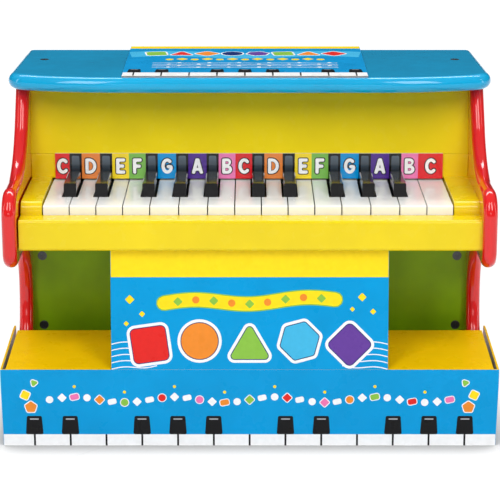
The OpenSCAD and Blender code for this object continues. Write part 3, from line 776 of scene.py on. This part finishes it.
NOTE_COLOURS = {
    "c": linear(226, 30, 40), "d": linear(240, 138, 62), "e": linear(253, 222, 42),
    "f": linear(126, 190, 84), "g": linear(0, 152, 222), "a": linear(82, 44, 146),
    "b": linear(241, 128, 184),
}
SHARP_COLOUR = linear(20, 20, 20)
SHEEN_COLOURS = (linear(22, 24, 28), linear(92, 106, 118))
LETTER_COLOUR = linear(255, 255, 255)
OUTLINE_COLOUR = linear(18, 14, 24)
# The keys are a lane apart, but the top C's front is wider.
TOP_KEY_LANES = 5 / 3
SHARP_W = 10.5
LETTER_H = 13.4
LETTER_OUTLINE = 0.85
# The streak on a black block: half its width at its foot and top, the room above it, its corners'
# radius, and how far inside the strip's foot and top its colour stops changing
SHEEN_FOOT = 3.6
SHEEN_TOP = 3.2
SHEEN_ROOM = 2.0
SHEEN_CORNER = 1.2
SHEEN_FADE = (4.0, 3.0)


def letter_shapes():
    """Plain rounded capitals for the notes: for each, its width, its outline and its holes."""
    h = LETTER_H
    mid = h / 2
    pen, inner, outer = 2.8, 1.15, 1.3
    foot, head = arc(outer, outer, outer, 180, 270, 4), arc(outer, h - outer, outer, 90, 180, 4)
    return {
        "c": (9.2, stroke(arc(5.1, mid, 3.7, 46, 314, 22, mid - pen / 2), pen)),
        "d": (9.6, [*foot, *arc(3.4, mid, 6.0, -90, 90, 18, mid), *head],
              [(pen, 2.7), *arc(3.4, mid, 3.3, -90, 90, 14, mid - 2.7), (pen, h - 2.7)]),
        "e": (7.8, rounded([(0, 0), (7.8, 0), (7.8, 2.8), (pen, 2.8), (pen, 5.3), (7.0, 5.3), (7.0, 8.1),
                            (pen, 8.1), (pen, 10.6), (7.8, 10.6), (7.8, h), (0, h)], inner)),
        "f": (7.6, rounded([(0, 0), (pen, 0), (pen, 5.2), (6.8, 5.2), (6.8, 8.0), (pen, 8.0),
                            (pen, 10.6), (7.6, 10.6), (7.6, h), (0, h)], inner)),
        "g": (9.6, stroke([*arc(5.0, mid, 3.6, 50, 345, 24, mid - pen / 2), (8.3, 6.1), (7.2, 6.2),
                           (5.8, 6.2)], pen)),
        "a": (10.2, rounded([(0, 0), (2.9, 0), (3.8, 2.7), (6.4, 2.7), (7.3, 0), (10.2, 0), (6.6, h),
                             (3.6, h)], inner),
              [(4.5, 5.1), (5.7, 5.1), (5.1, 8.2)]),
        "b": (8.6, [*foot, *arc(4.8, 3.7, 3.7, -90, 78, 12), *arc(4.5, 10.2, 3.2, -66, 90, 12), *head],
              [(pen, 2.5), *arc(4.5, 3.75, 1.25, -90, 90, 8), (pen, 5.0)],
              [(pen, 8.5), *arc(4.4, 9.7, 1.2, -90, 90, 8), (pen, 10.9)]),
    }


def is_sharp(i):
    return 0 <= i < KEY_COUNT and "sharp" in KEYS[i]


def note_strip():
    """Coloured blocks behind the white keys, black ones behind the black keys, and the note letters."""
    low, high = box_mm("note_guide")
    fade = (low[2] + SHEEN_FADE[0], high[2] - SHEEN_FADE[1])
    inks = {note: strip_ink(f"note_{note}", colour) for note, colour in NOTE_COLOURS.items()}
    inks["sharp"] = strip_ink("note_sharp", SHARP_COLOUR)
    inks["sheen"] = fading_ink("note_sheen", *SHEEN_COLOURS, *fade)
    inks["letter"] = strip_ink("note_letter", LETTER_COLOUR)
    inks["outline"] = strip_ink("note_outline", OUTLINE_COLOUR)
    strip = Sheet("note_print", "piano", "printed_strip", inks)
    strip.on((0, low[1], 0), (1, 0, 0), (0, 0, 1))

    x0 = (box_mm("cheek_left")[1][0] + box_mm(KEYS[0])[0][0]) / 2
    x1 = (box_mm("cheek_right")[0][0] + box_mm(KEYS[-1])[1][0]) / 2
    lane = (x1 - x0) / (KEY_COUNT - 1 + TOP_KEY_LANES)
    letters = letter_shapes()
    for i in range(KEY_COUNT):
        middle = x0 + (i + 0.5) * lane
        if is_sharp(i):
            top = high[2] - SHEEN_ROOM
            strip.shape("sharp", 0, oblong(middle - SHARP_W / 2, low[2], middle + SHARP_W / 2, high[2]))
            strip.shape("sheen", 1, rounded(
                [(middle - SHEEN_FOOT, low[2]), (middle + SHEEN_FOOT, low[2]),
                 (middle + SHEEN_TOP, top), (middle - SHEEN_TOP, top)], SHEEN_CORNER))
            continue
        left = middle - lane + SHARP_W / 2 if is_sharp(i - 1) else max(middle - lane / 2, low[0])
        right = middle + lane - SHARP_W / 2 if is_sharp(i + 1) else middle + lane / 2
        right = high[0] if i == KEY_COUNT - 1 else right
        note = OCTAVE[i % len(OCTAVE)]
        strip.shape(note, 0, oblong(left, low[2], right, high[2]))
        width, *loops = letters[note]
        x = (left + right - width) / 2
        z = (low[2] + high[2] - LETTER_H) / 2
        outline, *holes = [[(x + px, z + py) for px, py in loop] for loop in loops]
        strip.shape("outline", 1, grown(outline, LETTER_OUTLINE),
                    *(grown(hole, -LETTER_OUTLINE / 2) for hole in holes))
        strip.shape("letter", 2, outline, *holes)
    strip.finish()


# ---- prints on the sleeve and the song book -----------------------------------------------------

CARD_INKS = {
    "white": linear(246, 247, 248), "yellow": linear(253, 222, 32), "red": linear(228, 44, 40),
    "orange": linear(240, 142, 50), "green": linear(140, 194, 74), "purple": linear(104, 66, 156),
    "navy": linear(14, 44, 110), "pink": linear(240, 120, 178), "black": linear(22, 22, 24),
    "sky": linear(70, 184, 228), "grey": linear(168, 172, 178),
}
BASIC_FORMS = [
    ("red", lambda x, y, r: rounded(spun(oblong(-r, -r, r, r), x, y, 8), r * 0.3)),
    ("orange", lambda x, y, r: disc(x, y, r * 1.05, 36)),
    ("green", lambda x, y, r: rounded(regular(x, y - r * 0.15, r * 1.4, 3), r * 0.22)),
    ("sky", lambda x, y, r: rounded(regular(x, y, r * 1.15, 6, 15), r * 0.2)),
    ("purple", lambda x, y, r: rounded(regular(x, y, r * 1.3, 4), r * 0.3)),
]

# Of the seven lines between white keys in an octave, those with a black key
BLACK_AT = (0, 1, 3, 4, 5)
# Parts of a printed black key, as shares of its width
LINE_HALF = 0.055
KEY_TOP_HALF = 0.42
KEY_CORNER = 0.1
# The glint across it: its width as a share of the top's, its place and height as shares of the
# key's height, and its corners' radius
GLINT_W = 0.6
GLINT_AT = 0.8
GLINT_H = 0.07
GLINT_CORNER = 0.3


def card_inks(prefix):
    return {name: print_ink(f"{prefix}_{name}", colour) for name, colour in CARD_INKS.items()}


def bordered(sheet, ink, level, outline, white_mm, inner_mm=0.0):
    """A coloured shape with a white border, and a thin navy line inside the border if asked."""
    sheet.shape("white", level, grown(outline, white_mm))
    if inner_mm:
        sheet.shape("navy", level + 1, outline)
        outline = grown(outline, -inner_mm)
    sheet.shape(ink, level + 2, outline)


def key_border(sheet, half, pitch, lines, strip_h, key_h, key_w):
    """A row of printed keys: a white strip with lines, and black keys that stand on it."""
    sheet.shape("white", 0, oblong(-half, 0, half, strip_h))
    line, top = key_w * LINE_HALF, key_w * KEY_TOP_HALF
    head = strip_h + key_h
    for k in range(lines):
        x = (k - (lines - 1) / 2) * pitch
        sheet.shape("black", 1, oblong(x - line, 0, x + line, strip_h))
        if k % 7 not in BLACK_AT:
            continue
        sheet.shape("black", 2, rounded([(x - key_w / 2, strip_h), (x + key_w / 2, strip_h),
                                         (x + top, head), (x - top, head)], key_w * KEY_CORNER))
        glint, bar_z = top * GLINT_W, strip_h + key_h * GLINT_AT
        sheet.shape("grey", 3, rounded(
            oblong(x - glint, bar_z, x + glint, bar_z + key_h * GLINT_H), GLINT_CORNER))


# The sleeve: its front's height, the card, its raised middle's half width and run to the back, and
# what the print leaves bare at each side
SLEEVE_FRONT_H = 66.0
SLEEVE_CARD = 1.6
SLEEVE_MID_HALF = 113.5
SLEEVE_MID_RUN = 11.6
SLEEVE_MARGIN = 1.4
SLEEVE_BORDER = {"pitch": 29.66, "lines": 13, "strip_h": 9.8, "key_h": 16.0, "key_w": 14.6}

# Tokens on a waving line: how many, over what width, at what height, and the wave's swing and turn
GARLAND_INKS = ("white", "white", "pink", "white", "orange", "white", "green", "white", "white", "red")
GARLAND_COUNT = 33
GARLAND_SPAN = 330.0
GARLAND_Z = 40.0
GARLAND_SWING = 2.4
GARLAND_TURN = math.pi / 4
TOKEN_BORDER = 0.7
DOT_R = 1.3
DOT_RISE = 9.0
# The forms at the front's right end: ink, x, z, radius, sides and turn. The left end has them at -x.
CORNER_TOKENS = (("orange", 180.5, 33.5, 5.2, 5, 90), ("yellow", 185.0, 44.0, 4.6, 4, 110),
                 ("green", 177.5, 54.5, 4.0, 3, 130))

# The middle: its yellow band, its row of bold forms, and the ruled waves beside them
MID_MARGIN = 0.2
MID_BAND_H = 22.6
MID_FORM_R = 15.0
MID_FORM_PITCH = 41.0
MID_FORM_Z = 22.5
MID_FORM_STAGGER = 3.0
MID_RULES = 5
MID_RULE_W = 0.8
MID_RULE_PITCH = 5.2
MID_RULE_END = 76.0
# The ribbon's height, rise, swing and waves, its two strokes from the lowest, and its gems
RIBBON_HALF = 70.0
RIBBON_WAVE = (57.0, 3.0, 2.2, 1.5)
RIBBON_STROKES = ((13.0, "green"), (11.0, "yellow"))
GEM_COUNT = 9
GEM_HALF = 66.0
# Small yellow diamonds: x, z and size
SPARKS = ((-98, 60, 2.6), (-88, 48, 1.7), (92, 62, 2.4), (101, 50, 1.7), (84, 52, 1.4),
          (-101, 40, 1.5))


def garland(sheet):
    """Small white tokens on a waving line, with coloured ones and yellow dots among them."""
    for k in range(GARLAND_COUNT):
        x = (k / (GARLAND_COUNT - 1) - 0.5) * GARLAND_SPAN
        z = GARLAND_Z + GARLAND_SWING * math.sin(k * GARLAND_TURN)
        ink = GARLAND_INKS[k % len(GARLAND_INKS)]
        if k % 3 == 0:
            form = disc(x, z, 3.1, 20)
        elif k % 3 == 1:
            form = rounded(regular(x, z, 4.0, 4), 0.8)
        else:
            form = rounded(spun(oblong(-3.6, -2.4, 3.6, 2.4), x, z, 12), 1.6)
        if ink != "white":
            sheet.shape("white", 1, grown(form, TOKEN_BORDER))
        sheet.shape(ink, 2, form)
        if k % 4 == 2:
            sheet.shape("yellow", 2, disc(x, z + DOT_RISE, DOT_R, 14))


def corner_tokens(sheet):
    """Three bordered forms, one over the other, at each end of the front."""
    for side in (-1, 1):
        for ink, x, z, r, sides, turn in CORNER_TOKENS:
            bordered(sheet, ink, 1, rounded(regular(side * x, z, r, sides, turn), 1.2), 0.8)


def middle_panel(sheet, height):
    """A yellow band over a blue field of bold forms, a waving ribbon and five ruled waves."""
    half = SLEEVE_MID_HALF - MID_MARGIN
    sheet.shape("yellow", 0, oblong(-half, height - MID_BAND_H, half, height - MID_MARGIN))
    for k in range(MID_RULES):
        for side in (-1, 1):
            path = wavy(side * half, side * MID_RULE_END, 2.0 + MID_RULE_PITCH * k, 3.0, 1.1, 1.0, 24)
            sheet.shape("white", 1, ribbon(path if side > 0 else path[::-1], MID_RULE_W))
    for k, (ink, form) in enumerate(BASIC_FORMS):
        x = (k - 2) * MID_FORM_PITCH
        z = MID_FORM_Z + (MID_FORM_STAGGER if k % 2 else 0.0)
        bordered(sheet, ink, 2, form(x, z, MID_FORM_R), 2.4, 0.7)
    path = wavy(-RIBBON_HALF, RIBBON_HALF, *RIBBON_WAVE)
    for level, (width, ink) in enumerate(RIBBON_STROKES, 1):
        sheet.shape(ink, level, stroke(path, width))
    gems = wavy(-GEM_HALF, GEM_HALF, *RIBBON_WAVE, 2 * GEM_COUNT)[1::2]
    for k, (x, z) in enumerate(gems):
        form = disc(x, z, 3.0, 20) if k % 2 else rounded(regular(x, z, 3.9, 4), 0.7)
        sheet.shape("orange" if k % 2 else "green", 3, form)
    for x, z, r in SPARKS:
        sheet.shape("yellow", 2, rounded(regular(x, z, r * 1.5, 4), r * 0.25))


def sleeve_print():
    """The sleeve's front, and its middle that leans back above it."""
    low, high = box_mm("display_sleeve")
    sheet = Sheet("sleeve_print", "sleeve", "printed_card", card_inks("sleeve"))
    sheet.on((0, low[1], 0), (1, 0, 0), (0, 0, 1))
    key_border(sheet, high[0] - SLEEVE_MARGIN, **SLEEVE_BORDER)
    garland(sheet)
    corner_tokens(sheet)
    mid_z = SLEEVE_FRONT_H - SLEEVE_CARD
    sheet.on((0, low[1], mid_z), (1, 0, 0), (0, SLEEVE_MID_RUN, high[2] - mid_z))
    middle_panel(sheet, math.hypot(SLEEVE_MID_RUN, high[2] - mid_z))
    sheet.finish()


# The cover's top over its lowest point, at its front edge and at its spine
BOOK_FRONT = 1.4
BOOK_SPINE = 3.2
BOOK_MARGIN = 0.3
BOOK_HEAD_H = 11.5
BOOK_BORDER = {"pitch": 23.5, "lines": 9, "strip_h": 15.0, "key_h": 15.0, "key_w": 12.0}
# Ruled lines with dots on them, every other line's dots shifted, and a row of beads above them
BOOK_RULES = 4
BOOK_RULE_Y = 39.0
BOOK_RULE_PITCH = 7.0
BOOK_RULE_HALF = 80.0
BOOK_RULE_W = 0.9
BOOK_DOTS = 6
BOOK_DOT_X = -66.0
BOOK_DOT_PITCH = 26.0
BOOK_DOT_SHIFT = 9.0
BOOK_BEADS = 13
BOOK_BEAD_Y = 77.0
BOOK_BEAD_PITCH = 11.0
# The pale wave: its height, rise, swing and waves, its width, and what it is cut off at
BOOK_WAVE = (101.0, 0.0, 6.0, 1.5)
BOOK_WAVE_W = 26.0
BOOK_WAVE_CUT = (84.0, 122.0)
BOOK_FORM_INKS = ("green", "red", "orange", "navy", "purple", "green", "orange", "red")
BOOK_FORM_R = 8.6
BOOK_FORM_Y = 106.0
BOOK_FORM_PITCH = 22.5


def clamped(value, low, high):
    return min(max(value, low), high)


def book_print():
    """The song book's cover: a yellow head, bold forms on a pale wave, ruled lines and a key border."""
    low, high = box_mm("songbook_cover")
    depth = high[1] - low[1]
    half = (high[0] - low[0]) / 2 - BOOK_MARGIN
    sheet = Sheet("book_print", "songbook", "book_cover", card_inks("book"))
    sheet.on(((low[0] + high[0]) / 2, low[1], low[2] + BOOK_FRONT),
             (1, 0, 0), (0, depth, BOOK_SPINE - BOOK_FRONT))
    key_border(sheet, half, **BOOK_BORDER)
    for k in range(BOOK_RULES):
        y = BOOK_RULE_Y + BOOK_RULE_PITCH * k
        path = wavy(-BOOK_RULE_HALF, BOOK_RULE_HALF, y, 0.0, 0.7, 3.0)
        sheet.shape("white", 0, ribbon(path, BOOK_RULE_W))
        for j in range(BOOK_DOTS):
            x = BOOK_DOT_X + BOOK_DOT_PITCH * j + BOOK_DOT_SHIFT * (k % 2)
            sheet.shape("white", 1, disc(x, y + 1.0, 1.8, 14))
    for k in range(BOOK_BEADS):
        x = (k - (BOOK_BEADS - 1) / 2) * BOOK_BEAD_PITCH
        diamond = rounded(regular(x, BOOK_BEAD_Y + 2.0, 5.4, 4), 0.9)
        sheet.shape("yellow", 1, diamond if k % 2 else disc(x, BOOK_BEAD_Y, 3.6, 18))
    wave = ribbon(wavy(-half, half, *BOOK_WAVE), BOOK_WAVE_W)
    sheet.shape("sky", 0, [(clamped(x, -half, half), clamped(y, *BOOK_WAVE_CUT)) for x, y in wave])
    for k, ink in enumerate(BOOK_FORM_INKS):
        _, form = BASIC_FORMS[2 * k % len(BASIC_FORMS)]
        x = (k - (len(BOOK_FORM_INKS) - 1) / 2) * BOOK_FORM_PITCH
        bordered(sheet, ink, 1, form(x, BOOK_FORM_Y, BOOK_FORM_R), 1.5)
    sheet.shape("yellow", 0, oblong(-half, depth - BOOK_HEAD_H, half, depth - BOOK_MARGIN))
    sheet.finish()


note_strip()
sleeve_print()
book_print()
